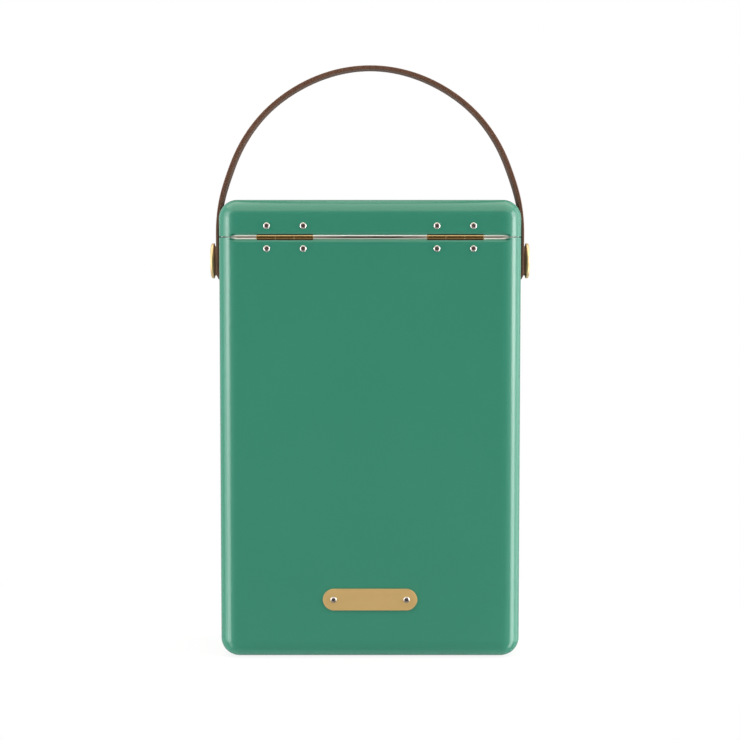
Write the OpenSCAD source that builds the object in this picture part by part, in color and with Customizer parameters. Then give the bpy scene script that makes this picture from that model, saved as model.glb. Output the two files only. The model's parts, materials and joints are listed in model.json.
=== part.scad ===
// Upright drinks cooler box: painted steel body and lid, white liners on foam, a leather carrying strap
// on two brass studs, two barrel hinges riveted through the seam, a bare plate and a swing hook catch.
// Millimetres. +Z is up, the floor is z = 0, the front is -Y and the hinges are on +Y.
// Left and right are as seen from the front: left is -X.

/* [Box] */
// Width of the box, left to right
box_w = 230; // [200:1:300]
// Depth of the box, front to back
box_d = 100; // [90:1:150]
// Height of the middle of the seam above the floor
seam_z = 322.7; // [260:0.1:380]
// Height of the lid above the middle of the seam
lid_h = 28.1; // [26:0.1:50]
// Radius of the upright edges
edge_r = 15; // [14.5:0.5:20]
// Radius of the edges round the base and round the lid's top
base_r = 14; // [10:0.5:14]
// Thickness of the painted steel
sheet = 1; // [0.6:0.1:1.2]
// Gap in the seam between the two rims
seam_gap = 0.8; // [0.4:0.1:1.2]
// Height of the hem where each rim is folded double
hem_h = 6; // [4:0.1:6]
// How far from the seam's middle the back rims start to round in
groove_reach = 4.6; // [3:0.05:5.5]
// Radius of that rounding along the back
groove_r = 3.6; // [3.4:0.1:9]
// Length over which the slot between the back rims closes at each end
groove_fade = 4.5; // [3:0.5:8]

/* [Inside] */
// Space for the foam between shell and liner
foam_t = 7; // [6.5:0.1:8]
// Clearance between the foam and the metal on either side
foam_gap = 0.3; // [0.1:0.05:0.6]
// Thickness of the liners and of their flanges in the seam
liner_t = 0.8; // [0.6:0.1:1.2]
// Radius of the liner's floor edge, outside
liner_base_r = 6; // [3:0.5:6]
// Clearance between the flanges and the hems
flange_gap = 0.1; // [0.05:0.05:0.3]
// How far the flanges stay in from the back face
flange_inset = 1.4; // [0.9:0.1:2]
// Height of the space for the seal between the flanges
seal_space = 1.5; // [1:0.1:2]
// Clearance between the seal and the lid's flange
seal_gap = 0.1; // [0.05:0.05:0.3]
// Width of the seal
seal_w = 3.5; // [2:0.1:4.5]

/* [Hinges] */
// Distance of each hinge's middle from the middle of the box
hinge_x = 64.3; // [45:0.1:75]
// Length of a hinge
hinge_len = 42.6; // [36:0.1:55]
// Diameter of the barrel
barrel_d = 4.6; // [4.6:0.1:6]
// How far the middle of the barrel stands out from the back face
pin_out = 0.75; // [0.5:0.05:2]
// Diameter of the pin
pin_d = 2.6; // [2:0.1:3]
// Radial clearance of the pin in the knuckles
pin_gap = 0.05; // [0.02:0.01:0.1]
// Clearance between neighbouring knuckles, and round the barrel in the rims
knuckle_gap = 0.3; // [0.2:0.05:0.5]
// Thickness of a leaf
leaf_t = 1; // [0.8:0.1:1.2]
// Clearance between the two leaves in the seam
leaf_gap = 0.2; // [0.1:0.05:0.4]
// Clearance round a leaf where it passes other pieces
leaf_clear = 0.3; // [0.2:0.05:0.6]
// Length of a leaf's plate along the wall
leaf_drop = 14; // [13:0.5:18]
// Distance of the rivets from the middle of the seam
rivet_drop = 8.6; // [8:0.1:10]
// Distance between the two rivets of a leaf
rivet_span = 27.6; // [20:0.1:30]

/* [Rivets] */
// Diameter of a rivet's shank
rivet_d = 3.2; // [2.4:0.1:4]
// Diameter of a hinge rivet's head
rivet_head_d = 5.7; // [5:0.1:8]
// Height of a rivet's head
rivet_head_h = 1.1; // [0.8:0.1:1.6]
// Diameter of the hollow in a rivet's head
rivet_hollow_d = 2; // [1:0.1:2.4]
// Depth of the hollow in a rivet's head
rivet_hollow_deep = 0.8; // [0.4:0.1:1]
// Diameter of a rivet's set end inside the wall
rivet_tail_d = 4.6; // [4.2:0.1:5.5]
// Length of a rivet's set end
rivet_tail = 2.8; // [2:0.1:3.2]
// Radial clearance of a rivet in its holes
rivet_gap = 0.05; // [0.02:0.01:0.1]

/* [Plate] */
// Length of the plate on the back
plate_len = 72; // [60:1:120]
// Height of the plate
plate_h = 16.7; // [12:0.1:30]
// Thickness of the plate
plate_t = 1; // [0.6:0.1:2]
// Height of the plate's middle above the floor
plate_z = 46; // [35:1:200]
// Distance between the plate's rivets
plate_rivet_span = 55.8; // [40:0.1:60]
// Diameter of the plate rivets' heads
plate_rivet_head_d = 5.4; // [5:0.1:8]

/* [Strap] */
// Width of the strap
strap_w = 27; // [20:0.5:30]
// Thickness of the strap
strap_t = 2.4; // [2:0.1:4]
// Depth of the studs' middle below the seam's middle
stud_drop = 19; // [17:0.5:40]
// How far the strap's ends reach below the studs' middle
strap_end = 15; // [13:0.5:20]
// Height above the studs where the strap starts to bend in
strap_straight = 21.6; // [15:0.1:40]
// Rise of the arch above that height, to the strap's outer face
strap_rise = 128.7; // [110:0.1:180]
// Thickness of the spacer between the wall and the strap
spacer_t = 1.6; // [1.2:0.1:5]
// Diameter of the spacer
spacer_d = 22; // [16:0.5:26]
// Clearance on each side of the strap at the studs
strap_side_gap = 0.2; // [0.1:0.05:0.4]

/* [Studs] */
// Diameter of a stud's head
stud_d = 27.4; // [24:0.1:34]
// Thickness of the head at its rim
stud_rim_t = 2.4; // [1.6:0.1:4]
// Height of the head's crown above its rim
stud_crown = 0.8; // [0.3:0.1:2]
// Depth of the dished underside
stud_dish = 1; // [0.5:0.1:1.4]
// Width of the rim round the dished underside
stud_lip = 1.4; // [0.8:0.1:2.5]
// Diameter of the shoulder that the strap turns on
shoulder_d = 8; // [6.5:0.1:10]
// Radial clearance of the strap on the shoulder
shoulder_gap = 0.08; // [0.02:0.01:0.1]
// Gap between the strap and the head's rim
head_gap = 2; // [0.8:0.1:3]
// Diameter of the dark washer under the head
washer_d = 23; // [16:0.1:24]
// Diameter of the stud's thread
thread_d = 6; // [4:0.5:6]
// Radial clearance of the thread in plates and nut
thread_gap = 0.05; // [0.02:0.01:0.1]
// How far the thread stands out of the nut
thread_out = 0.7; // [0.3:0.1:1]
// Width of the backing plate along the wall
backing_w = 40; // [25:1:60]
// Height of the backing plate
backing_h = 24; // [16:1:25]
// Thickness of the backing plate
backing_t = 1.5; // [1:0.1:2]
// Distance across the nut's flats
nut_af = 10; // [8:0.5:11]
// Thickness of the nut
nut_t = 3.2; // [2.4:0.1:3.4]

/* [Catch] */
// Depth of the hook's pivot below the seam's middle
catch_drop = 17; // [14:0.5:30]
// Height of the peg above the seam's middle
peg_rise = 9; // [8:0.5:12]
// Thickness of the hook
hook_t = 1.6; // [1:0.1:2.5]
// Clearance in front of and behind the hook, and round the peg in its mouth
hook_gap = 0.35; // [0.3:0.05:0.6]
// Width of the hook's arm
hook_arm_w = 6; // [5:0.1:8]
// Diameter of the hook's round end
hook_end_d = 13; // [11:0.1:16]
// Diameter of the hook's round at the pivot
hook_root_d = 10; // [9:0.1:14]
// Diameter of the round thumb piece on the hook
hook_thumb_d = 5; // [3:0.1:7]
// Diameter of the pivot's shoulder
pivot_d = 5; // [4:0.1:6]
// Radial clearance of the hook on the pivot
pivot_gap = 0.06; // [0.02:0.01:0.1]
// Diameter of the heads on the pivot and the peg
catch_head_d = 8; // [7.2:0.1:10]
// Height of those heads
catch_head_h = 1.4; // [0.8:0.1:2]
// Diameter of the peg
peg_d = 4; // [3.4:0.1:5]
// Diameter of the round plate behind the hook
catch_plate_d = 12; // [9:0.1:16]
// Diameter of the peg's foot
peg_foot_d = 10; // [8:0.1:14]
// Thickness of that plate and foot
catch_plate_t = 1; // [0.6:0.1:2]

/* [Hidden] */
$fn = 64;
strap_steps = 48;
dome_steps = 512; // sides of the large circles that domed heads are cut from
past = 1; // how far a cut runs past the face that it opens

green = "#3a866e";
liner_white = "#e6e7de";
foam_colour = "#e8dfc4";
seal_brown = "#53483f";
brass = "#c9a45c";
nickel = "#cfd0cc";
leather = "#6a5040";
steel = "#8e9296";

// Distances from the seam's middle: the rims, the flanges' faces and the low end of the hem
rim_top = seam_gap / 2;
flange_drop = seal_space / 2;
rim_drop = flange_drop + liner_t;
hem_drop = rim_top + hem_h;

// Faces that other pieces seat on. Distances named _in and _out are from the corner axis.
back_y = box_d / 2;
side_x = box_w / 2;
wall_in = edge_r - sheet;
hem_in = edge_r - 2 * sheet;
hem_face = back_y - 2 * sheet;
liner_out = edge_r - sheet - foam_t;
liner_inset = sheet + foam_t;

// Along the back the rims round in and stop at the flanges, up to where the corners have turned as far in
groove_deep = groove_r - sqrt(pow(groove_r, 2) - pow(groove_reach - rim_drop, 2));
slot_half = side_x - edge_r + sqrt(pow(edge_r, 2) - pow(edge_r - groove_deep, 2));
run_half = slot_half - groove_fade;
fade_slope = (rim_drop - rim_top) / groove_fade;

pin_y = back_y + pin_out;
knuckle_len = hinge_len / 3;
leaf_face = back_y - sheet;
leaf_back = leaf_face - leaf_t;

// Faces across the strap, outwards from the wall
strap_in = side_x + spacer_t + strap_side_gap;
strap_out = strap_in + strap_t;
head_in = strap_out + head_gap;
stud_z = seam_z - stud_drop;
arch_z = stud_z + strap_straight;

// Faces in front of the box at the catch
front_y = -back_y;
hook_space = hook_t + 2 * hook_gap;
hook_y = front_y - catch_plate_t - hook_gap;
catch_len = catch_drop + peg_rise;

// A quarter disc in the corner that rise points to: -1 for a low corner, 1 for a high one
module quarter_disc(r, rise) {
    intersection() {
        circle(r = r);
        translate([0, rise < 0 ? -r : 0]) square(r);
    }
}

// A block from the corner axis out to reach, with its outer corners rounded by low_r and high_r
module rounded_block(reach, low, high, low_r, high_r) {
    translate([0, low]) square([reach - low_r, low_r]);
    translate([reach - low_r, low + low_r]) quarter_disc(low_r, -1);
    translate([0, low + low_r]) square([reach, high - low - low_r - high_r]);
    if (high_r > 0) {
        translate([0, high - high_r]) square([reach - high_r, high_r]);
        translate([reach - high_r, high - high_r]) quarter_disc(high_r, 1);
    }
}

// Carries a wall's outline round the box: x is the distance out from the corner axis, y the height
module round_the_box() {
    half_x = side_x - edge_r;
    half_y = back_y - edge_r;
    corners = [[half_x, half_y], [-half_x, half_y], [-half_x, -half_y], [half_x, -half_y]];
    for (i = [0:3]) {
        translate(corners[i]) rotate(90 * i) rotate_extrude(angle = 90) children();
        across = i % 2 == 0 ? half_x : half_y;
        along = i % 2 == 0 ? half_y : half_x;
        rotate(90 * i) translate([across, 0, 0]) rotate([90, 0, 0])
            linear_extrude(height = 2 * along, center = true) children();
    }
}

// The flat field between the corner axes, thick above low
module floor_plate(low, thick) {
    translate([edge_r - side_x, edge_r - back_y, low])
        cube([box_w - 2 * edge_r, box_d - 2 * edge_r, thick]);
}

// Body and lid are the same three layers, drawn hanging below a seam at z = 0 and deep as given

module half_shell_outline(deep) {
    difference() {
        rounded_block(edge_r, -deep, -rim_top, base_r, 0);
        rounded_block(wall_in, sheet - deep, -hem_drop, base_r - sheet, 0);
        translate([0, -hem_drop - past]) square([hem_in, hem_drop + 2 * past]);
    }
}

module half_shell(deep) {
    difference() {
        union() {
            round_the_box() half_shell_outline(deep);
            floor_plate(-deep, sheet);
        }
        back_groove();
        hinge_notches(hem_face - past, leaf_face, hem_drop + leaf_clear);
        barrel_rooms();
        hinge_rivet_holes();
    }
}

// Cut along the back that rounds the rim in, and above it the slot that the liner's flange fills.
// At its ends the slot's floor rises to the rim.
module back_groove() {
    inner = hem_face - past;
    wide = back_y - hem_face + 2 * past;
    open_half = run_half + (rim_drop + past) / fade_slope;
    rotate([90, 0, 90]) linear_extrude(height = box_w, center = true) difference() {
        translate([inner, -groove_reach]) square([wide, groove_reach - rim_drop]);
        translate([back_y - groove_r, -groove_reach]) circle(r = groove_r);
    }
    translate([0, inner + wide, -rim_drop]) rotate([90, 0, 0]) linear_extrude(height = wide)
        polygon([[-run_half, 0], [run_half, 0], [open_half, rim_drop + past], [-open_half, rim_drop + past]]);
}

module half_liner_outline(deep) {
    low = liner_inset - deep;
    difference() {
        rounded_block(liner_out, low, -flange_drop, liner_base_r, 0);
        rounded_block(liner_out - liner_t, low + liner_t, past, liner_base_r - liner_t, 0);
    }
    translate([liner_out - liner_t, -rim_drop])
        square([hem_in - flange_gap - liner_out + liner_t, liner_t]);
}

module half_liner(deep) {
    difference() {
        union() {
            round_the_box() half_liner_outline(deep);
            floor_plate(liner_inset - deep, liner_t);
            back_flange();
        }
        hinge_notches(leaf_back - leaf_clear, back_y, rim_drop + past);
    }
}

// The strip of the flange that reaches out into the slot along the back, thinning out at both ends
module back_flange() {
    half = run_half - sheet;
    tip = half + liner_t / fade_slope;
    inner = hem_face - flange_gap - past;
    outer = back_y - flange_inset;
    translate([0, outer, -rim_drop]) rotate([90, 0, 0]) linear_extrude(height = outer - inner)
        polygon([[-half, 0], [half, 0], [tip, liner_t], [-tip, liner_t]]);
}

module half_foam_outline(deep) {
    difference() {
        rounded_block(wall_in - foam_gap, sheet + foam_gap - deep, -hem_drop - foam_gap,
            base_r - sheet - foam_gap, 0);
        rounded_block(liner_out + foam_gap, liner_inset - foam_gap - deep, past,
            liner_base_r + foam_gap, 0);
    }
}

module half_foam(deep) {
    difference() {
        union() {
            round_the_box() half_foam_outline(deep);
            floor_plate(sheet + foam_gap - deep, foam_t - 2 * foam_gap);
        }
        hinge_notches(leaf_back - rivet_tail - leaf_clear, back_y, leaf_drop + leaf_clear);
    }
}

// Room for both hinges, from y0 to y1 and down to deep below the seam
module hinge_notches(y0, y1, deep) {
    wide = hinge_len + 2 * leaf_clear;
    for (side = [-1, 1])
        translate([side * hinge_x - wide / 2, y0, -deep]) cube([wide, y1 - y0, deep + past]);
}

// Room for the barrels in the rims
module barrel_rooms() {
    wide = hinge_len + 2 * leaf_clear;
    for (side = [-1, 1]) translate([side * hinge_x - wide / 2, pin_y, 0]) rotate([0, 90, 0])
        cylinder(r = barrel_d / 2 + knuckle_gap, h = wide);
}

module hinge_rivet_spots() {
    for (side = [-1, 1], end = [-0.5, 0.5])
        translate([side * hinge_x + end * rivet_span, back_y, -rivet_drop]) children();
}

module rivet_hole(reach) {
    rotate([90, 0, 0]) translate([0, 0, -past]) cylinder(r = rivet_d / 2 + rivet_gap, h = reach + past);
}

module hinge_rivet_holes() {
    hinge_rivet_spots() rivet_hole(sheet + leaf_t + past);
}

module upper_half() {
    translate([0, 0, seam_z]) mirror([0, 0, 1]) children();
}

module lower_half() {
    translate([0, 0, seam_z]) children();
}

// Domed head, seen from its flat: base at y = 0, crown up
module dome_outline(head_d, head_h) {
    ball_r = (pow(head_d / 2, 2) + pow(head_h, 2)) / (2 * head_h);
    intersection() {
        translate([0, head_h - ball_r]) circle(r = ball_r, $fn = dome_steps);
        square([head_d / 2, head_h]);
    }
}

// Blind rivet along +Y with its head's flat at y = 0, through a stack of the given thickness
module rivet(head_d, stack) {
    rotate([-90, 0, 0]) rotate_extrude() {
        difference() {
            dome_outline(head_d, rivet_head_h);
            translate([0, rivet_head_h - rivet_hollow_deep]) square([rivet_hollow_d / 2, rivet_head_h]);
        }
        translate([0, -stack]) square([rivet_d / 2, stack]);
        translate([0, -stack - rivet_tail]) square([rivet_tail_d / 2, rivet_tail]);
    }
}

// One hinge leaf on the body's side of the seam. own says which of the three knuckles it carries.
module hinge_leaf(own) {
    barrel_r = barrel_d / 2;
    relief_r = barrel_r + knuckle_gap;
    difference() {
        union() {
            translate([-hinge_len / 2, leaf_back, -leaf_drop])
                cube([hinge_len, leaf_t, leaf_drop - leaf_gap / 2]);
            for (i = own) translate([(i - 1) * knuckle_len, 0, 0]) {
                wide = knuckle_len - knuckle_gap;
                translate([-wide / 2, leaf_back, -leaf_gap / 2 - leaf_t])
                    cube([wide, pin_y - leaf_back, leaf_t]);
                translate([-wide / 2, pin_y, 0]) rotate([0, 90, 0]) cylinder(r = barrel_r, h = wide);
            }
        }
        translate([-hinge_len / 2 - past, pin_y, 0]) rotate([0, 90, 0])
            cylinder(r = pin_d / 2 + pin_gap, h = hinge_len + 2 * past);
        for (i = [0:2]) if (len(search(i, own)) == 0)
            translate([(i - 1.5) * knuckle_len - knuckle_gap / 2, pin_y, 0]) rotate([0, 90, 0])
                cylinder(r = relief_r, h = knuckle_len + knuckle_gap);
        for (end = [-0.5, 0.5]) translate([end * rivet_span, back_y, -rivet_drop])
            rivet_hole(sheet + leaf_t + past);
    }
}

module hinge_leaf_body(side) {
    color(brass) lower_half() translate([side * hinge_x, 0, 0]) hinge_leaf([0, 2]);
}

module hinge_leaf_lid(side) {
    color(brass) upper_half() translate([side * hinge_x, 0, 0]) hinge_leaf([1]);
}

module hinge_pin(side) {
    color(brass) translate([side * hinge_x - hinge_len / 2, pin_y, seam_z]) rotate([0, 90, 0])
        cylinder(d = pin_d, h = hinge_len);
}

module body_hinge_rivets() {
    color(nickel) lower_half() hinge_rivet_spots() rivet(rivet_head_d, sheet + leaf_t);
}

module lid_hinge_rivets() {
    color(nickel) upper_half() hinge_rivet_spots() rivet(rivet_head_d, sheet + leaf_t);
}

// Rows of holes and pieces that sit on the walls

module plate_rivet_spots() {
    for (end = [-0.5, 0.5]) translate([end * plate_rivet_span, back_y + plate_t, plate_z]) children();
}

// Faces the outside of a side wall: local z runs outwards from the wall's outer face
module at_stud(side) {
    translate([side * side_x, 0, stud_z]) rotate([0, side * 90, 0]) children();
}

// Faces the outside of the front wall at a height from the seam: local z runs outwards
module at_front(rise) {
    translate([0, front_y, seam_z + rise]) rotate([90, 0, 0]) children();
}

module body_shell() {
    color(green) difference() {
        lower_half() half_shell(seam_z);
        plate_rivet_spots() rivet_hole(plate_t + sheet + past);
        for (side = [-1, 1]) at_stud(side) translate([0, 0, -sheet - past])
            cylinder(r = thread_d / 2 + thread_gap, h = sheet + 2 * past);
        at_front(-catch_drop) translate([0, 0, -sheet - past])
            cylinder(r = rivet_d / 2 + rivet_gap, h = sheet + 2 * past);
    }
}

module body_liner() {
    color(liner_white) lower_half() half_liner(seam_z);
}

module body_insulation() {
    color(foam_colour) difference() {
        lower_half() half_foam(seam_z);
        for (side = [-1, 1]) at_stud(side) translate([0, 0, -sheet - foam_t])
            linear_extrude(height = foam_t)
                square([backing_h + 2 * leaf_clear, backing_w + 2 * leaf_clear], center = true);
        plate_rivet_spots() rivet_tail_room(plate_t + sheet);
        at_front(-catch_drop) front_tail_room();
    }
}

// Room in the foam for a rivet's set end behind a stack of the given thickness
module rivet_tail_room(stack) {
    rotate([90, 0, 0]) cylinder(d = rivet_tail_d + 2 * leaf_clear, h = stack + rivet_tail + leaf_clear);
}

module front_tail_room() {
    deep = sheet + rivet_tail + leaf_clear;
    translate([0, 0, -deep]) cylinder(d = rivet_tail_d + 2 * leaf_clear, h = deep);
}

module rim_seal() {
    seal_out = edge_r - sheet - leaf_t - 2 * leaf_clear;
    color(seal_brown) translate([0, 0, seam_z - flange_drop]) round_the_box()
        translate([seal_out - seal_w, 0]) square([seal_w, seal_space - seal_gap]);
}

module nameplate() {
    color(brass) difference() {
        translate([0, back_y, plate_z]) rotate([-90, 0, 0]) linear_extrude(height = plate_t) {
            square([plate_len - plate_h, plate_h], center = true);
            for (side = [-0.5, 0.5]) translate([side * (plate_len - plate_h), 0]) circle(d = plate_h);
        }
        plate_rivet_spots() rivet_hole(plate_t + past);
    }
}

module nameplate_rivets() {
    color(nickel) plate_rivet_spots() rivet(plate_rivet_head_d, plate_t + sheet);
}

// Brass stud: crowned head, dished underneath, a shoulder for the strap and a thread through the wall
module stud(side) {
    head_z = head_in - side_x;
    thread_len = sheet + backing_t + nut_t + thread_out;
    color(brass) at_stud(side) rotate_extrude() {
        difference() {
            union() {
                translate([0, head_z]) square([stud_d / 2, stud_rim_t]);
                translate([0, head_z + stud_rim_t]) dome_outline(stud_d, stud_crown);
            }
            translate([0, head_z - past]) square([stud_d / 2 - stud_lip, stud_dish + past]);
        }
        square([shoulder_d / 2, head_z + stud_rim_t]);
        translate([0, -thread_len]) square([thread_d / 2, thread_len]);
    }
}

module ring(outer_d, inner_r, low, thick) {
    translate([0, 0, low]) linear_extrude(height = thick) difference() {
        circle(d = outer_d);
        circle(r = inner_r);
    }
}

module stud_washer(side) {
    low = strap_out + strap_side_gap - side_x;
    high = head_in + stud_dish - side_x;
    color(leather) at_stud(side) ring(washer_d, shoulder_d / 2 + shoulder_gap, low, high - low);
}

module strap_spacer(side) {
    color(leather) at_stud(side) ring(spacer_d, shoulder_d / 2 + shoulder_gap, 0, spacer_t);
}

module stud_backing(side) {
    color(steel) at_stud(side) translate([0, 0, -sheet - backing_t]) linear_extrude(height = backing_t)
        difference() {
            square([backing_h, backing_w], center = true);
            circle(r = thread_d / 2 + thread_gap);
        }
}

module stud_nut(side) {
    color(steel) at_stud(side) translate([0, 0, -sheet - backing_t - nut_t]) linear_extrude(height = nut_t)
        difference() {
            circle(d = nut_af / cos(30), $fn = 6);
            circle(r = thread_d / 2 + thread_gap);
        }
}

// Leather strap: two straight ends and a half ellipse between them, cut round below the studs
function arch(half_width, rise) = [
    for (i = [0:strap_steps]) let (a = 180 * i / strap_steps) [half_width * cos(a), arch_z + rise * sin(a)]
];

module strap() {
    low = stud_z - strap_end;
    high = arch_z + strap_rise;
    outside = arch(strap_out, strap_rise);
    inside = arch(strap_in, strap_rise - strap_t);
    back_along = [for (i = [strap_steps:-1:0]) inside[i]];
    color(leather) difference() {
        intersection() {
            rotate([90, 0, 0]) linear_extrude(height = strap_w, center = true)
                polygon(concat([[strap_out, low]], outside, [[-strap_out, low], [-strap_in, low]],
                    back_along, [[strap_in, low]]));
            rotate([90, 0, 90]) linear_extrude(height = 2 * strap_out + 2 * past, center = true) {
                translate([0, low + strap_w / 2]) circle(d = strap_w);
                translate([-strap_w / 2, low + strap_w / 2]) square([strap_w, high - low]);
            }
        }
        translate([-strap_out - past, 0, stud_z]) rotate([0, 90, 0])
            cylinder(r = shoulder_d / 2 + shoulder_gap, h = 2 * strap_out + 2 * past);
    }
}

module lid_shell() {
    color(green) difference() {
        upper_half() half_shell(lid_h);
        at_front(peg_rise) translate([0, 0, -sheet - past])
            cylinder(r = rivet_d / 2 + rivet_gap, h = sheet + 2 * past);
    }
}

module lid_liner() {
    color(liner_white) upper_half() half_liner(lid_h);
}

module lid_insulation() {
    color(foam_colour) difference() {
        upper_half() half_foam(lid_h);
        at_front(peg_rise) front_tail_room();
    }
}

// Catch: a round plate and a shouldered pivot on the body, a headed peg on the lid and the hook

module catch_plate() {
    color(brass) at_front(-catch_drop)
        ring(catch_plate_d, rivet_d / 2 + rivet_gap, 0, catch_plate_t);
}

// Outline of a riveted pin whose shoulder carries the hook, from the wall's outer face
module catch_pin_outline(shoulder) {
    translate([0, catch_plate_t]) square([shoulder / 2, hook_space]);
    translate([0, catch_plate_t + hook_space]) dome_outline(catch_head_d, catch_head_h);
    translate([0, -sheet]) square([rivet_d / 2, sheet + catch_plate_t]);
    translate([0, -sheet - rivet_tail]) square([rivet_tail_d / 2, rivet_tail]);
}

module catch_pivot() {
    color(brass) at_front(-catch_drop) rotate_extrude() catch_pin_outline(pivot_d);
}

module catch_peg() {
    color(brass) at_front(peg_rise) rotate_extrude() {
        catch_pin_outline(peg_d);
        square([peg_foot_d / 2, catch_plate_t]);
    }
}

// The hook hangs from the pivot. Its mouth is an arc about the pivot, open on the side that leads
// when the hook swings up past +X.
module catch_hook() {
    mouth_r = peg_d / 2 + hook_gap;
    reach = catch_len + hook_end_d;
    color(brass) translate([0, hook_y, seam_z - catch_drop]) rotate([90, 0, 0])
        linear_extrude(height = hook_t) difference() {
            union() {
                circle(d = hook_root_d);
                translate([-hook_arm_w / 2, -catch_len]) square([hook_arm_w, catch_len]);
                translate([0, -catch_len]) circle(d = hook_end_d);
                translate([-hook_end_d / 2, -catch_len - hook_thumb_d / 2]) circle(d = hook_thumb_d);
            }
            circle(r = pivot_d / 2 + pivot_gap);
            translate([0, -catch_len]) circle(r = mouth_r);
            intersection() {
                difference() {
                    circle(r = catch_len + mouth_r);
                    circle(r = catch_len - mouth_r);
                }
                polygon([[0, 0], [0, -reach], [reach, -reach]]);
            }
        }
}

body_shell();
body_liner();
body_insulation();
rim_seal();
hinge_leaf_body(-1);  // hinge_leaf_body_left
hinge_leaf_body(1);  // hinge_leaf_body_right
hinge_pin(-1);  // hinge_pin_left
hinge_pin(1);  // hinge_pin_right
body_hinge_rivets();
nameplate();
nameplate_rivets();
stud(-1);  // stud_left
stud(1);  // stud_right
stud_washer(-1);  // stud_washer_left
stud_washer(1);  // stud_washer_right
strap_spacer(-1);  // strap_spacer_left
strap_spacer(1);  // strap_spacer_right
stud_backing(-1);  // stud_backing_left
stud_backing(1);  // stud_backing_right
stud_nut(-1);  // stud_nut_left
stud_nut(1);  // stud_nut_right
catch_plate();
catch_pivot();
lid_shell();
lid_liner();
lid_insulation();
hinge_leaf_lid(-1);  // hinge_leaf_lid_left
hinge_leaf_lid(1);  // hinge_leaf_lid_right
lid_hinge_rivets();
catch_peg();
strap();
catch_hook();
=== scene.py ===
"""Painted drinks cooler box with a leather carrying strap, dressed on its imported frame.

The box stands on z = 0 with its hinges on +Y, and the camera looks at that back face.
"""

import json
import math

import bmesh
import bpy
from mathutils import Matrix, Vector


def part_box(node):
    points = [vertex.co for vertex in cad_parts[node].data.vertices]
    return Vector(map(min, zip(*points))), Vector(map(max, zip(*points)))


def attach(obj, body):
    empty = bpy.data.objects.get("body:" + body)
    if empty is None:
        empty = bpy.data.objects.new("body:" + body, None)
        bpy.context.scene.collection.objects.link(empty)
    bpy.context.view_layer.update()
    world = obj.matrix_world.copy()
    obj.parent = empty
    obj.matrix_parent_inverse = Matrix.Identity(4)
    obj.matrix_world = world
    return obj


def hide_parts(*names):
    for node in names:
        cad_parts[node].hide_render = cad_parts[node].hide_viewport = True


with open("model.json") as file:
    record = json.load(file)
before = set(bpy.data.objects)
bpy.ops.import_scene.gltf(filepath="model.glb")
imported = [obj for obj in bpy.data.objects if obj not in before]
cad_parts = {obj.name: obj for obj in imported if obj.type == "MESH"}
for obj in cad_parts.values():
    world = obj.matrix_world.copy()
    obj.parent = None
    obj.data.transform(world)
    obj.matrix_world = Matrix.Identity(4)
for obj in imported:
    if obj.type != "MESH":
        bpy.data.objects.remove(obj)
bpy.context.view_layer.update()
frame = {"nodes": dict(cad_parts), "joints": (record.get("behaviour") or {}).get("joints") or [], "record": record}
joints = {joint["name"]: joint for joint in frame["joints"]}

# Sizes that the frame doesn't give, in millimetres

MM = 0.001
BARREL_R = 2.3
STRAP_T = 2.4
STRAP_BORE = 4.1
STUD_TO_ARCH = 21.6
STUD_HEAD = 9.4
STUD_CAP = 3.2
THREAD_R = 3
SHOULDER_R = 4
RIVET_HEAD = 1.1
RIVET_SHANK_R = 1.6
RIVET_TAIL_R = 2.3
RIVET_TAIL = 2.8

# Angles in degrees: edges sharper than these are rounded off, or shaded as creases

HARD_EDGE = 35
CREASE = 40

# Places that the pieces take from the frame, in metres

BODY_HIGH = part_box("body_shell")[1]
LID_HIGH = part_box("lid_shell")[1]
STRAP_LOW, STRAP_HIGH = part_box("strap")
BACK_Y = BODY_HIGH.y
HINGE_Z = joints["lid_hinge"]["pos_m"][2]
STUD_Z = joints["strap_swing"]["pos_m"][2]
ARCH_Z = STUD_Z + STUD_TO_ARCH * MM
BODIES = {node: body for body, nodes in frame["record"]["behaviour"]["bodies"].items() for node in nodes}
SLOTS = {part["node"]: part["material_slot"] for part in frame["record"]["subparts"]}


# Shader maths

class Wire:
    """An output socket of a node tree. Sums written on it become Math nodes."""

    def __init__(self, finish, socket):
        self.finish = finish
        self.socket = socket

    def maths(self, operation, *values):
        return self.finish.node("ShaderNodeMath", {"operation": operation}, dict(enumerate(values)))

    def __add__(self, other):
        return self.maths("ADD", self, other)

    def __radd__(self, other):
        return self.maths("ADD", other, self)

    def __sub__(self, other):
        return self.maths("SUBTRACT", self, other)

    def __rsub__(self, other):
        return self.maths("SUBTRACT", other, self)

    def __mul__(self, other):
        return self.maths("MULTIPLY", self, other)

    def __rmul__(self, other):
        return self.maths("MULTIPLY", other, self)

    def __truediv__(self, other):
        return self.maths("DIVIDE", self, other)

    def __abs__(self):
        return self.maths("ABSOLUTE", self)


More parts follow.
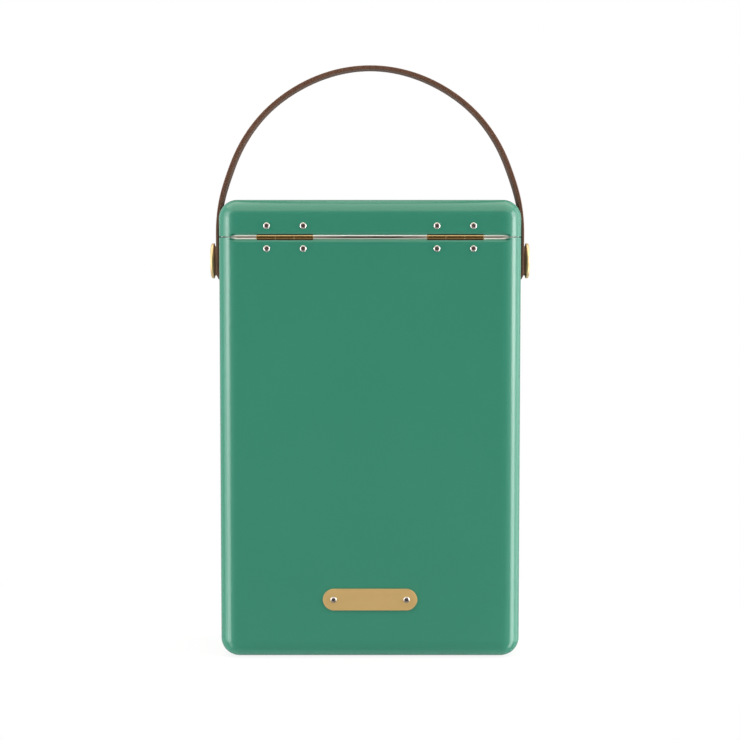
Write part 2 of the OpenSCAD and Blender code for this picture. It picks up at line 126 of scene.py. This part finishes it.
class Finish:
    """A node tree, and the one way to add a node to it."""

    def __init__(self, tree):
        self.tree = tree
        self.tree.nodes.clear()

    def node(self, kind, settings=None, sockets=None, out=0):
        made = self.tree.nodes.new(kind)
        for key, value in (settings or {}).items():
            if key == "stops":
                self.set_stops(made.color_ramp.elements, value)
            else:
                setattr(made, key, value)
        for key, value in (sockets or {}).items():
            if isinstance(value, Wire):
                self.tree.links.new(value.socket, made.inputs[key])
            else:
                made.inputs[key].default_value = value
        return Wire(self, made.outputs[out]) if made.outputs else None

    @staticmethod
    def set_stops(elements, stops):
        while len(elements) < len(stops):
            elements.new(1.0)
        for element, (place, value) in zip(elements, stops):
            element.position = place
            element.color = (value, value, value, 1.0)

    def rays(self):
        path = self.node("ShaderNodeLightPath").socket.node
        kinds = ("Camera", "Glossy", "Transmission")
        return [Wire(self, path.outputs[f"Is {kind} Ray"]) for kind in kinds]

    def place(self):
        return self.node("ShaderNodeTexCoord", out="Object")

    def part(self, vector, axis):
        return self.node("ShaderNodeSeparateXYZ", {}, {"Vector": vector}, out=axis)

    def mark(self, name):
        return self.node("ShaderNodeAttribute", {"attribute_name": name}, out="Fac")

    def noise(self, place, size, detail, rough=0.5):
        sockets = {"Vector": place, "Scale": 1 / size, "Detail": detail, "Roughness": rough}
        return self.node("ShaderNodeTexNoise", {}, sockets, out="Fac")

    def ramp(self, value, stops):
        return self.node("ShaderNodeValToRGB", {"stops": stops}, {"Fac": value})

    def blend(self, factor, first, second):
        sockets = {0: factor, 6: first, 7: second}
        return self.node("ShaderNodeMix", {"data_type": "RGBA"}, sockets, out=2)

    def stretch(self, place, scale):
        return self.node("ShaderNodeVectorMath", {"operation": "MULTIPLY"}, {0: place, 1: scale})

    def bump(self, height, distance):
        return self.node("ShaderNodeBump", {}, {"Height": height, "Distance": distance, "Strength": 1.0})

    def glow(self, strength):
        return self.node("ShaderNodeEmission", {}, {"Color": (1, 1, 1, 1), "Strength": strength})

    def mix(self, factor, first, second):
        return self.node("ShaderNodeMixShader", {}, {0: factor, 1: first, 2: second})

    def surface(self, **sockets):
        named = {key.replace("_", " "): value for key, value in sockets.items()}
        shader = self.node("ShaderNodeBsdfPrincipled", {}, named)
        self.node("ShaderNodeOutputMaterial", {}, {"Surface": shader})


def material(name):
    made = bpy.data.materials.new(name)
    made.use_nodes = True
    return made, Finish(made.node_tree)


def srgb(red, green, blue):
    """A colour given in screen levels of 0 to 255, as linear light."""
    def linear(level):
        share = level / 255
        return share / 12.92 if share <= 0.04045 else ((share + 0.055) / 1.055) ** 2.4
    return (linear(red), linear(green), linear(blue), 1.0)


# Finishes

def seam_ends(f, place, start, full):
    """One along the back seam from full to near the corners, nought inside start and on the other sides.

    start and full are shares of the box's half width.
    """
    away = abs(f.part(place, "X") / BODY_HIGH.x)
    behind = f.ramp(f.part(place, "Y") / BACK_Y, [(0.6, 0.0), (0.75, 1.0)])
    return behind * f.ramp(away, [(start, 0.0), (full, 1.0), (0.935, 1.0), (0.97, 0.0)])


def green_enamel():
    """Gloss green enamel, worn dull on the flat top of the lid."""
    made, f = material("green_enamel")
    place = f.place()
    worn = f.ramp(0.5 + (f.part(place, "Z") - LID_HIGH.z) / MM, [(0.1, 0.0), (0.45, 1.0)])
    drift = f.noise(place, 70 * MM, 3.0)
    peel = f.noise(place, 1.6 * MM, 1.0)
    smear = f.noise(place, 25 * MM, 4.0, 0.6)
    f.surface(
        Base_Color=f.blend(drift, srgb(46, 119, 98), srgb(49, 122, 101)),
        Roughness=0.2 + 0.06 * smear + (0.34 + 0.16 * smear) * worn,
        Normal=f.bump(peel, 0.004 * MM),
    )
    return made


def liner_enamel():
    """Off-white enamel, paler on the flange edges that show in the back seam.

    Between the hinges the chest's flange edge in the seam is painted a greyish green: painted shade.
    """
    made, f = material("liner_enamel")
    place = f.place()
    below = f.ramp(0.5 + (HINGE_Z - f.part(place, "Z")) / MM, [(0.5, 0.0), (0.6, 1.0)])
    flange = f.ramp(f.part(place, "Y") / BACK_Y, [(0.93, 0.0), (0.95, 1.0)])
    ends = seam_ends(f, place, 0.4, 0.7)
    # Painted shade: on the flange below the hinge line, away from the seam's ends.
    painted_seam_shade = 0.8 * below * flange * (1 - ends)
    drift = f.noise(place, 40 * MM, 3.0)
    peel = f.noise(place, 2 * MM, 1.0)
    inside = f.blend(drift, srgb(196, 197, 187), srgb(204, 205, 196))
    rim = f.blend(ends, srgb(231, 232, 223), srgb(214, 217, 206))
    f.surface(
        Base_Color=f.blend(painted_seam_shade, f.blend(flange, inside, rim), srgb(142, 154, 140)),
        Roughness=0.3 + 0.1 * drift + 0.3 * painted_seam_shade,
        Normal=f.bump(peel, 0.004 * MM),
    )
    return made


def brass(name, brush, colour, shade, rough, metal=1.0):
    """Brass with fine brush lines along the side where brush is small, a faint patina, and brown where the mesh is
    marked: dirt and painted shade.
    """
    made, f = material(name)
    place = f.place()
    lines = f.noise(f.stretch(place, brush), 0.25 * MM, 3.0, 0.6)
    patina = f.noise(place, 6 * MM, 4.0, 0.6)
    grime = f.mark("grime")
    clean = f.blend(patina, srgb(*shade), srgb(*colour))
    f.surface(
        Base_Color=f.blend(grime, clean, srgb(176, 128, 86)),
        Metallic=metal - 0.8 * grime,
        Roughness=rough + 0.1 * lines * patina + 0.3 * grime,
        Normal=f.bump(lines, 0.003 * MM),
    )
    return made


def hinge_brass():
    """Brass with a patina, a painted highlight along two lines of the barrels, and painted dark shade above and
    below them.
    """
    made, f = material("hinge_brass")
    place = f.place()
    rise = 0.5 + 0.5 * (f.part(place, "Z") - HINGE_Z) / (BARREL_R * MM)
    # Painted light, by height on the barrel: two bands of painted highlight, and painted dark shade at its top and
    # bottom.
    painted_highlight_below = [(0.2, 0.0), (0.25, 0.5), (0.29, 0.5), (0.34, 0.0)]
    painted_highlight_above = [(0.66, 0.0), (0.73, 1.0), (0.77, 1.0), (0.83, 0.0)]
    painted_highlight = f.ramp(rise, painted_highlight_below + painted_highlight_above)
    painted_dark_shade = f.ramp(rise, [(0.15, 1.0), (0.21, 0.0), (0.77, 0.0), (0.83, 1.0)])
    lines = f.noise(f.stretch(place, (0.1, 1, 1)), 0.25 * MM, 3.0, 0.6)
    patina = f.noise(place, 6 * MM, 4.0, 0.6)
    base_tone = f.blend(patina, srgb(148, 108, 46), srgb(168, 126, 60))
    bright = f.blend(painted_highlight, base_tone, srgb(192, 166, 126))
    f.surface(
        Base_Color=f.blend(painted_dark_shade, bright, srgb(34, 24, 6)),
        Metallic=0.88 + 0.1 * painted_dark_shade,
        Roughness=0.2 + 0.06 * lines + 0.3 * painted_dark_shade,
        Coat_Weight=0.6 - 0.6 * painted_dark_shade,
        Coat_Roughness=0.12,
        Normal=f.bump(lines, 0.001 * MM),
    )
    return made


def rivet_nickel():
    """Bright nickel with a little haze, and brown where the mesh is marked: dirt and painted shade."""
    made, f = material("rivet_nickel")
    haze = f.noise(f.place(), 1.5 * MM, 3.0)
    grime = f.mark("grime")
    bright = f.blend(haze, srgb(208, 203, 197), srgb(224, 220, 215))
    f.surface(
        Base_Color=f.blend(grime, bright, srgb(86, 47, 41)),
        Metallic=0.86 - 0.66 * grime,
        Roughness=0.2 + 0.12 * haze + 0.3 * grime,
    )
    return made


def strap_leather():
    """Brown leather: creased grain on the faces, smoother and streaked on the burnished edges."""
    made, f = material("strap_leather")
    place = f.place()
    grain = {"Vector": place, "Scale": 1 / (0.9 * MM)}
    cells = f.node("ShaderNodeTexVoronoi", {"feature": "SMOOTH_F1"}, grain)
    pores = f.noise(place, 0.5 * MM, 3.0, 0.6)
    drift = f.noise(place, 9 * MM, 4.0, 0.65)
    streak = f.noise(place, 1.6 * MM, 3.0, 0.7)
    edge = f.mark("edge")
    flat = f.blend(drift, srgb(76, 47, 33), srgb(100, 67, 50))
    rim = f.blend(streak, srgb(74, 47, 35), srgb(110, 79, 64))
    f.surface(
        Base_Color=f.blend(edge, flat, rim),
        Roughness=0.5 + 0.16 * pores - 0.12 * edge,
        Specular_IOR_Level=0.18,
        Normal=f.bump((cells + 0.5 * pores) * (1 - 0.6 * edge), 0.05 * MM),
    )
    return made


def washer_leather():
    made, f = material("washer_leather")
    fibres = f.noise(f.place(), 0.6 * MM, 3.0, 0.6)
    f.surface(
        Base_Color=f.blend(fibres, srgb(110, 78, 56), srgb(138, 104, 78)),
        Roughness=0.6 + 0.2 * fibres,
        Normal=f.bump(fibres, 0.05 * MM),
    )
    return made


def seal_rubber():
    """Brown rubber, paler towards the ends of the back seam, with a painted highlight at their tips."""
    made, f = material("seal_rubber")
    place = f.place()
    dust = f.noise(place, 3 * MM, 4.0, 0.6)
    dark = f.blend(dust, srgb(64, 47, 41), srgb(82, 63, 55))
    paler_seal = f.blend(dust, srgb(146, 131, 124), srgb(164, 150, 143))
    base_tone = f.blend(seam_ends(f, place, 0.16, 0.38), dark, paler_seal)
    f.surface(
        # Painted highlight: near-white at the tips of the back seam.
        Base_Color=f.blend(seam_ends(f, place, 0.87, 0.91), base_tone, srgb(232, 236, 228)),
        Roughness=0.65 + 0.15 * dust,
        Normal=f.bump(dust, 0.03 * MM),
    )
    return made


def foam_board():
    made, f = material("foam_board")
    cells = f.noise(f.place(), 0.8 * MM, 3.0, 0.7)
    f.surface(
        Base_Color=f.blend(cells, srgb(222, 210, 178), srgb(236, 226, 198)),
        Roughness=0.85 + 0.1 * cells,
        Normal=f.bump(cells, 0.2 * MM),
    )
    return made


def zinc_steel():
    made, f = material("zinc_steel")
    spangle = f.noise(f.place(), 4 * MM, 2.0)
    f.surface(
        Base_Color=f.blend(spangle, srgb(150, 153, 156), srgb(176, 178, 180)),
        Metallic=1.0,
        Roughness=0.35 + 0.15 * spangle,
    )
    return made


FINISHES = {
    "green_paint": green_enamel(),
    "liner_enamel": liner_enamel(),
    "foam": foam_board(),
    "seal_rubber": seal_rubber(),
    "brass": brass("catch_brass", (1, 1, 1), (230, 203, 156), (216, 184, 132), 0.26),
    "rivet_nickel": rivet_nickel(),
    "leather": strap_leather(),
    "dark_leather": washer_leather(),
    "plain_steel": zinc_steel(),
}
STUD_BRASS = brass("turned_brass", (1, 1, 1), (230, 203, 154), (214, 184, 130), 0.28, 0.72)
PLATE_BRASS = brass("plate_brass", (0.04, 1, 1), (223, 187, 126), (218, 180, 118), 0.42, 0.5)
HINGE_BRASS = hinge_brass()

for node_name, node_object in frame["nodes"].items():
    node_object.data.materials.clear()
    node_object.data.materials.append(FINISHES[SLOTS[node_name]])


# Pieces

def shade(mesh, crease=CREASE):
    """Smooth shading, broken where two faces meet at more than crease degrees."""
    mesh.shade_smooth()
    mesh.set_sharp_from_angle(angle=math.radians(crease))


class Shape:
    """Points and faces gathered for one mesh. Each point carries a number that a finish can read."""

    def __init__(self):
        self.points = []
        self.marks = []
        self.faces = []

    def add_loop(self, points, marks):
        first = len(self.points)
        self.points += points
        self.marks += marks
        return list(range(first, len(self.points)))

    def skin(self, first, second):
        """Faces between two closed loops of the same count. A loop of one point makes a fan."""
        count = max(len(first), len(second))
        for i in range(count):
            corners = [first[i % len(first)], first[(i + 1) % len(first)],
                       second[(i + 1) % len(second)], second[i % len(second)]]
            self.faces.append(tuple(dict.fromkeys(corners)))

    def turn(self, profile, place, axis, steps=48):
        """A turned piece: profile lists (radius, height along the axis, mark) in millimetres."""
        across = axis.orthogonal().normalized()
        up = axis.cross(across)
        rings = []
        for radius, height, mark in profile:
            centre = place + axis * height * MM
            count = steps if radius > 0 else 1
            ring = []
            for i in range(count):
                angle = math.tau * i / count
                ring.append(centre + radius * MM * (math.cos(angle) * across + math.sin(angle) * up))
            rings.append(self.add_loop(ring, [mark] * count))
        for first, second in zip(rings, rings[1:]):
            self.skin(first, second)

    def mesh(self, name, mark_name, crease=CREASE):
        made = bpy.data.meshes.new(name)
        made.from_pydata([tuple(point) for point in self.points], [], self.faces)
        bm = bmesh.new()
        bm.from_mesh(made)
        bmesh.ops.recalc_face_normals(bm, faces=bm.faces)
        bm.to_mesh(made)
        bm.free()
        marks = made.attributes.new(mark_name, "FLOAT", "POINT")
        marks.data.foreach_set("value", self.marks)
        shade(made, crease)
        return made


def add_object(name, data):
    made = bpy.data.objects.new(name, data)
    bpy.context.scene.collection.objects.link(made)
    return made


def add_piece(name, mesh, finish, *nodes):
    """An object that stands in for CAD nodes: it rides on their body and takes the finish it is given."""
    piece = add_object(name, mesh)
    mesh.materials.clear()
    mesh.materials.append(finish)
    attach(piece, BODIES[nodes[0]])
    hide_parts(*nodes)
    return piece


def loose_mesh(node):
    """The CAD node as a mesh to work on, with its triangles joined into faces."""
    bm = bmesh.new()
    bm.from_mesh(frame["nodes"][node].data)
    bmesh.ops.remove_doubles(bm, verts=bm.verts, dist=0.5e-6)
    bmesh.ops.dissolve_limit(bm, angle_limit=math.radians(1), verts=bm.verts, edges=bm.edges)
    return bm


def soften(node, finish, edge):
    """A copy of a CAD node with its hard edges rounded by edge millimetres."""
    bm = loose_mesh(node)
    hard = [e for e in bm.edges if e.is_manifold and e.calc_face_angle() > math.radians(HARD_EDGE)]
    bmesh.ops.bevel(bm, geom=hard, offset=edge * MM, offset_type="OFFSET", segments=3, profile=0.5,
                    affect="EDGES", clamp_overlap=True)
    mesh = bpy.data.meshes.new(node + "_soft")
    bm.to_mesh(mesh)
    bm.free()
    for spare in [layer for layer in mesh.attributes if layer.name == "custom_normal"]:
        mesh.attributes.remove(spare)
    shade(mesh)
    piece = add_piece(node + "_soft", mesh, finish, node)
    weighted = piece.modifiers.new("even_normals", "WEIGHTED_NORMAL")
    weighted.keep_sharp = True
    return piece


def shadowless(piece):
    """Lets light past a thin piece, as soft light from all round would."""
    piece.visible_shadow = False
    piece.visible_diffuse = False
    piece.visible_glossy = False


def lumps(node):
    """The corners (low, high) of each loose part of a CAD node."""
    bm = loose_mesh(node)
    found = []
    todo = set(bm.verts)
    while todo:
        group = {todo.pop()}
        edge_of_group = set(group)
        while edge_of_group:
            reached = {e.other_vert(v) for v in edge_of_group for e in v.link_edges} - group
            group |= reached
            edge_of_group = reached
        todo -= group
        low = Vector([min(v.co[i] for v in group) for i in range(3)])
        high = Vector([max(v.co[i] for v in group) for i in range(3)])
        found.append((low, high))
    bm.free()
    return found


def arc(centre, reach, start, end, steps=6, mark=0.0):
    """Points on an elliptical arc in a turned profile, angles in degrees from the radius."""
    made = []
    for i in range(steps + 1):
        angle = math.radians(start + (end - start) * i / steps)
        radius = centre[0] + reach[0] * math.cos(angle)
        height = centre[1] + reach[1] * math.sin(angle)
        made.append((radius, height, mark))
    return made


def blind_rivets(node):
    """Domed rivet heads with the broken pin sunk in the middle, and dirt with painted shade in the hollow and in a
    dark ring round the foot.
    """
    shape = Shape()
    back = Vector((0, 1, 0))
    for low, high in lumps(node):
        middle = (low + high) / 2
        foot = Vector((middle.x, high.y - RIVET_HEAD * MM, middle.z))
        wide = (high.z - low.z) / 2 / MM
        end = (low.y - foot.y) / MM
        # The broken pin, the hollow and the brim are marked to take the brown of dirt and painted shade.
        broken_pin = [(0, 0.64, 0.8), (0.5, 0.58, 0.85), (0.72, 0.3, 1)]
        hole = [(1.14, 0.3, 1), (1.18, 0.86, 1), (1.28, RIVET_HEAD - 0.05, 0.3)]
        dome = arc((0.48 * wide, 0.06), (0.41 * wide, RIVET_HEAD - 0.1), 4, 82, 9)[::-1]
        brim = [(0.9 * wide, 0.05, 1), (wide, 0.04, 1), (wide, 0, 1)]
        shank = [(RIVET_SHANK_R, 0, 1), (RIVET_SHANK_R, end + RIVET_TAIL, 0)]
        tail = [(RIVET_TAIL_R, end + RIVET_TAIL, 0), (RIVET_TAIL_R, end + 0.3, 0), (2, end, 0), (0, end, 0)]
        shape.turn(broken_pin + hole + dome + brim + shank + tail, foot, back)
    add_piece(node + "_domed", shape.mesh(node + "_domed", "grime"), FINISHES["rivet_nickel"], node)


def strap_stud(side, node):
    """A brass stud with a rolled rim, dished under the head, on its shoulder and thread."""
    shape = Shape()
    low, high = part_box(node)
    end = STUD_HEAD - (high.x - low.x) / MM
    under = STUD_HEAD - STUD_CAP
    # The thread, the shoulder and the dish under the head are marked to take the brown of dirt and painted shade;
    # the lip half so.
    thread = [(0, end, 0), (2.7, end, 0), (THREAD_R, end + 0.3, 0), (THREAD_R, 0, 1)]
    shoulder = [(SHOULDER_R, 0, 1), (SHOULDER_R, under + 1, 1)]
    dish = [(12.3, under + 1, 1), (12.3, under + 0.2, 1)]
    lip = arc((13.35, under + 0.35), (0.35, 0.35), -90, 0, 6, 0.6)
    rim = arc((12.0, under + 1.15), (1.7, 1.4), 0, 84, 10)
    groove = [(11.9, under + 2.5, 0), (11.7, under + 2.44, 0), (11.4, under + 2.52, 0)]
    crown = [(r, STUD_HEAD - 0.55 * (r / 11) ** 2, 0) for r in (10.6, 9, 7, 5, 3, 1.5, 0)]
    wall = Vector((side * BODY_HIGH.x, 0, STUD_Z))
    profile = thread + shoulder + dish + lip + rim + groove + crown
    shape.turn(profile, wall, Vector((side, 0, 0)), 96)
    add_piece(node + "_turned", shape.mesh(node + "_turned", "grime"), STUD_BRASS, node)


def hinge_pin(node):
    """A hinge pin with peened, domed ends."""
    shape = Shape()
    low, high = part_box(node)
    half = (high.x - low.x) / MM / 2
    radius = (high.z - low.z) / 2 / MM
    bulge = 0.45
    profile = [(0, -half - bulge, 0)] + arc((0, -half), (radius, bulge), -75, 0)
    profile += arc((0, half), (radius, bulge), 0, 75) + [(0, half + bulge, 0)]
    shape.turn(profile, (low + high) / 2, Vector((1, 0, 0)))
    shadowless(add_piece(node + "_peened", shape.mesh(node + "_peened", "grime"), HINGE_BRASS, node))


# Outline of one long edge of the strap: across the thickness from the outer face (1) to the inner (-1),
# millimetres in from the edge, and how burnished it is. A crease runs along the outer face, and the notch
# at half thickness parts the two layers.
EDGE_ROUND = [(1, 2, 0), (1, 1, 0.1), (0.96, 0.55, 0.5), (0.82, 0.2, 1), (0.6, 0.03, 1), (0.3, 0, 1),
              (0.1, 0.02, 1)]
EDGE_NOTCH = [(0, 0.16, 1)]
EDGE_CREASE = [(1, 3.2, 0), (1, 2.5, 0), (0.92, 2.25, 0.4)]
EDGE_INNER = [(-across, inset, burnish) for across, inset, burnish in EDGE_ROUND[::-1]] + [(-1, 3.2, 0)]
STRAP_EDGE = EDGE_CREASE + EDGE_ROUND + EDGE_NOTCH + EDGE_INNER

# Stations on each straight end of the strap, in millimetres from its tip, and a way that is past them all
STRAP_ENDS = [0.02, 0.15, 0.4, 0.8, 1.4, 2.2, 3.2, 4.5, 6, 8, 10.5, 13.5, 19, 25, 31]
FAR_FROM_ENDS = 99
ARCH_STEPS = 96


def hump(value, middle, wide):
    return math.exp(-((value - middle) / wide) ** 2)


def strap_stations():
    """Points up one end of the strap, over the arch and down: (inner face, outer face, way from the end).

    The arch is an ellipse that hangs a little straighter at its feet, and is padded for the hand.
    """
    outer = STRAP_HIGH.x
    inner = outer - STRAP_T * MM
    rise = STRAP_HIGH.z - ARCH_Z
    up = []
    for way in STRAP_ENDS:
        height = STRAP_LOW.z + way * MM
        up.append((Vector((inner, 0, height)), Vector((outer, 0, height)), way))
    over = []
    for i in range(ARCH_STEPS + 1):
        angle = math.pi * i / ARCH_STEPS
        degrees = 180 * i / ARCH_STEPS
        from_end = min(degrees, 180 - degrees)
        bow = 0.4 * hump(from_end, 45, 13) - 0.6 * hump(from_end, 21, 8)
        padding = 0.95 * (1 - hump(from_end, 0, 11)) - 0.25 * hump(from_end, 48, 12)
        padding -= 0.5 * hump(from_end, 90, 18)
        way_out = Vector((math.cos(angle) / outer, 0, math.sin(angle) / rise)).normalized()
        arch = Vector((outer * math.cos(angle), 0, ARCH_Z + rise * math.sin(angle)))
        without = arch + way_out * bow * MM
        over.append((without - way_out * (STRAP_T + padding) * MM, without, FAR_FROM_ENDS))
    flip = Vector((-1, 1, 1))
    down = [(within * flip, without * flip, way) for within, without, way in reversed(up)]
    return up + over + down


def leather_strap():
    """The strap: two layers with burnished edges, cut round and pared thin at both ends."""
    shape = Shape()
    half = STRAP_HIGH.y / MM
    outline = [(1, *point) for point in STRAP_EDGE] + [(-1, *point) for point in STRAP_EDGE[::-1]]
    loops = []
    for within, without, way in strap_stations():
        wide = half if way >= half else math.sqrt(half ** 2 - (half - way) ** 2)
        near = min(1, wide / 4)
        pare = 1 - 0.62 * max(0, 1 - way / 4.2)
        thick = pare * min(1, 0.5 + 0.55 * way)
        points = []
        marks = []
        for side, across, inset, burnish in outline:
            place = within + (without - within) * thick * (across + 1) / 2
            points.append(place + Vector((0, side * (wide - inset * near) * MM, 0)))
            marks.append(max(burnish, 1 - way / 1.5))
        loops.append(shape.add_loop(points, marks))
    for first, second in zip(loops, loops[1:]):
        shape.skin(first, second)
    shape.faces.append(tuple(loops[0]))
    shape.faces.append(tuple(loops[-1]))
    mesh = shape.mesh("leather_strap", "edge", 50)
    bore(add_piece("leather_strap", mesh, FINISHES["leather"], "strap"))


def bore(piece):
    """Cuts the holes for the studs through both ends of the strap."""
    mesh = bpy.data.meshes.new("strap_bore")
    bm = bmesh.new()
    turned = Matrix.Translation((0, 0, STUD_Z)) @ Matrix.Rotation(math.pi / 2, 4, "Y")
    bmesh.ops.create_cone(bm, cap_ends=True, segments=48, depth=0.3, matrix=turned,
                          radius1=STRAP_BORE * MM, radius2=STRAP_BORE * MM)
    bm.to_mesh(mesh)
    bm.free()
    cutter = add_object("strap_bore", mesh)
    cut = piece.modifiers.new("bore", "BOOLEAN")
    cut.object = cutter
    cut.solver = "EXACT"
    bpy.context.view_layer.update()
    depsgraph = bpy.context.evaluated_depsgraph_get()
    bored = bpy.data.meshes.new_from_object(piece.evaluated_get(depsgraph))
    piece.modifiers.clear()
    piece.data = bored
    bpy.data.objects.remove(cutter)


HINGE_LEAVES = ("hinge_leaf_body_left", "hinge_leaf_body_right",
                "hinge_leaf_lid_left", "hinge_leaf_lid_right")
LEATHER_RINGS = ("stud_washer_left", "stud_washer_right", "strap_spacer_left", "strap_spacer_right")

leather_strap()
for stud_side, stud_node in ((-1, "stud_left"), (1, "stud_right")):
    strap_stud(stud_side, stud_node)
for rivet_node in ("body_hinge_rivets", "lid_hinge_rivets", "nameplate_rivets"):
    blind_rivets(rivet_node)
for pin_node in ("hinge_pin_left", "hinge_pin_right"):
    hinge_pin(pin_node)
for leaf_node in HINGE_LEAVES:
    shadowless(soften(leaf_node, HINGE_BRASS, 0.25))
for ring_node in LEATHER_RINGS:
    soften(ring_node, FINISHES["dark_leather"], 0.35)
for catch_node in ("catch_plate", "catch_pivot", "catch_peg", "catch_hook"):
    soften(catch_node, FINISHES["brass"], 0.2)
soften("nameplate", PLATE_BRASS, 0.22)


# Stage: floor, light and camera

# Upright lamps round the object: name, side, degrees round from the camera's side, width, lowest and highest
# point, radiance. What stands below the floor is seen only in mirrors, through the clear part of the floor.
SIDE_BOXES = [
    ("tail_left", 1, 45, 0.34, -0.4, 1.1, 0.4),
    ("low_left", 1, 67, 0.42, -1.9, -0.4, 2.8),
    ("softbox_left", 1, 67, 0.42, -0.4, 0.12, 6.2),
    ("high_left", 1, 67, 0.42, 0.12, 0.52, 8.2),
    ("top_left", 1, 67, 0.42, 0.52, 1.1, 5.0),
    ("wrap_left", 1, 85, 0.38, -0.4, 1.1, 2.6),
    ("tail_right", -1, 50, 0.44, -0.4, 1.1, 0.6),
    ("low_right", -1, 76, 0.48, -1.9, -0.4, 6.2),
    ("softbox_right", -1, 76, 0.48, -0.4, 0.12, 8.0),
    ("high_right", -1, 76, 0.48, 0.12, 0.52, 10.4),
    ("top_right", -1, 76, 0.48, 0.52, 1.1, 7.5),
    ("wrap_right", -1, 106, 0.86, -0.4, 1.1, 1.5),
]
SIDE_REACH = 1.2


def studio_world():
    """White behind the object and dark on the camera's side, so that the back face mirrors the dark."""
    world = bpy.data.worlds.new("studio_world")
    bpy.context.scene.world = world
    world.use_nodes = True
    f = Finish(world.node_tree)
    camera_ray, glossy_ray, glass_ray = f.rays()
    way = f.node("ShaderNodeTexCoord", out="Generated")
    towards_camera = 0.5 + 0.5 * f.part(way, "Y")
    upwards = 0.5 + 0.5 * f.part(way, "Z")
    front = f.ramp(towards_camera, [(0.42, 0.0), (0.62, 1.0)])
    level = f.ramp(upwards, [(0.06, 0.0), (0.16, 1.0)])
    sky = f.ramp(upwards, [(0.5, 0.0), (0.8, 1.0)])
    sweep = 0.6 - 0.5 * front * level
    fill = 0.34 - 0.28 * front + 0.22 * sky
    other_ray = 1 - camera_ray - glossy_ray - glass_ray
    strength = camera_ray + glass_ray + glossy_ray * sweep + fill * other_ray
    light = f.node("ShaderNodeBackground", {}, {"Color": (1, 1, 1, 1), "Strength": strength})
    f.node("ShaderNodeOutputWorld", {}, {"Surface": light})


def floor_finish():
    """White with a faint shadow near the object, and a painted glow near and under it that lights the object from
    below. Mirrors see only the strip under it, front to back, as a dim painted glow.
    """
    made, f = material("pale_floor")
    camera_ray, glossy_ray = f.rays()[:2]
    place = f.place()
    squeezed = f.stretch(place, (0.5, 1, 0))
    away = f.node("ShaderNodeVectorMath", {"operation": "LENGTH"}, {0: squeezed}, out="Value")
    shown = f.ramp(away, [(0.08, 0.14), (0.3, 0.0)])
    beyond = f.ramp(away, [(0.09, 0.0), (0.13, 1.0)])
    under = f.ramp(abs(f.part(place, "Y") / (2 * BACK_Y)), [(0.475, 1.0), (0.52, 0.0)])
    beside = f.ramp(abs(f.part(place, "X") / (2 * BODY_HIGH.x)), [(0.48, 0.0), (0.51, 1.0)])
    matte = f.node("ShaderNodeBsdfDiffuse", {}, {"Color": (0.85, 0.85, 0.85, 1)})
    # Painted light: the floor glows near and under the object for all rays but the camera's.
    painted_bounce_glow = f.glow((0.32 - 0.26 * beyond + 0.3 * under) * (1 - camera_ray))
    lit = f.node("ShaderNodeAddShader", {}, {0: matte, 1: painted_bounce_glow})
    seen = f.mix(camera_ray * (1 - shown), lit, f.glow(1.0))
    clear = f.node("ShaderNodeBsdfTransparent")
    # Painted reflection: near the object mirrors see a dim glow in place of the floor.
    mirrored = f.mix(1 - (1 - beyond) * (1 - beside), f.glow(0.12 + 0.36 * under), clear)
    f.node("ShaderNodeOutputMaterial", {}, {"Surface": f.mix(glossy_ray, seen, mirrored)})
    return made


def pale_floor():
    mesh = bpy.data.meshes.new("floor")
    half = 1.0
    corners = [(-half, -half, 0), (half, -half, 0), (half, half, 0), (-half, half, 0)]
    mesh.from_pydata(corners, [], [(0, 1, 2, 3)])
    mesh.materials.append(floor_finish())
    floor = add_object("floor", mesh)


def softbox(name, place, aim, wide, tall, radiance, colour=(1, 1, 1)):
    """A rectangular lamp of the given radiance, facing aim."""
    data = bpy.data.lights.new(name, "AREA")
    data.shape = "RECTANGLE"
    data.size = wide
    data.size_y = tall
    data.energy = radiance * math.pi * wide * tall
    data.color = colour
    lamp = add_object(name, data)
    lamp.location = place
    lamp.rotation_euler = (Vector(aim) - Vector(place)).to_track_quat("-Z", "Y").to_euler()
    lamp.visible_camera = False


def studio_lights():
    for name, side, degrees, wide, low, high, radiance in SIDE_BOXES:
        angle = math.radians(degrees)
        aim = Vector((0, 0, (low + high) / 2))
        place = aim + SIDE_REACH * Vector((side * math.sin(angle), math.cos(angle), 0))
        softbox(name, place, aim, wide, high - low, radiance)
    softbox("overhead", (0, 0.16, 1.6), (0, 0.16, 0), wide=3.0, tall=2.12, radiance=1.9,
            colour=(1, 0.99, 0.84))


def photo_camera():
    """The photograph's view of the back face, a little from above."""
    image_px = 740
    focal_px = 1984.1
    shift_px = (-0.05, 0.2)
    distance = 1.5
    height = 0.339
    tilt = 4.46
    data = bpy.data.cameras.new("photo_camera")
    data.sensor_width = 36.0
    data.lens = data.sensor_width * focal_px / image_px
    data.shift_x = shift_px[0] / image_px
    data.shift_y = shift_px[1] / image_px
    camera = add_object("photo_camera", data)
    camera.location = (0, BACK_Y + distance, height)
    camera.rotation_euler = (math.radians(90 - tilt), 0, math.radians(180))
    bpy.context.scene.camera = camera


studio_world()
pale_floor()
studio_lights()
photo_camera()
bpy.context.scene.view_settings.view_transform = "Standard"
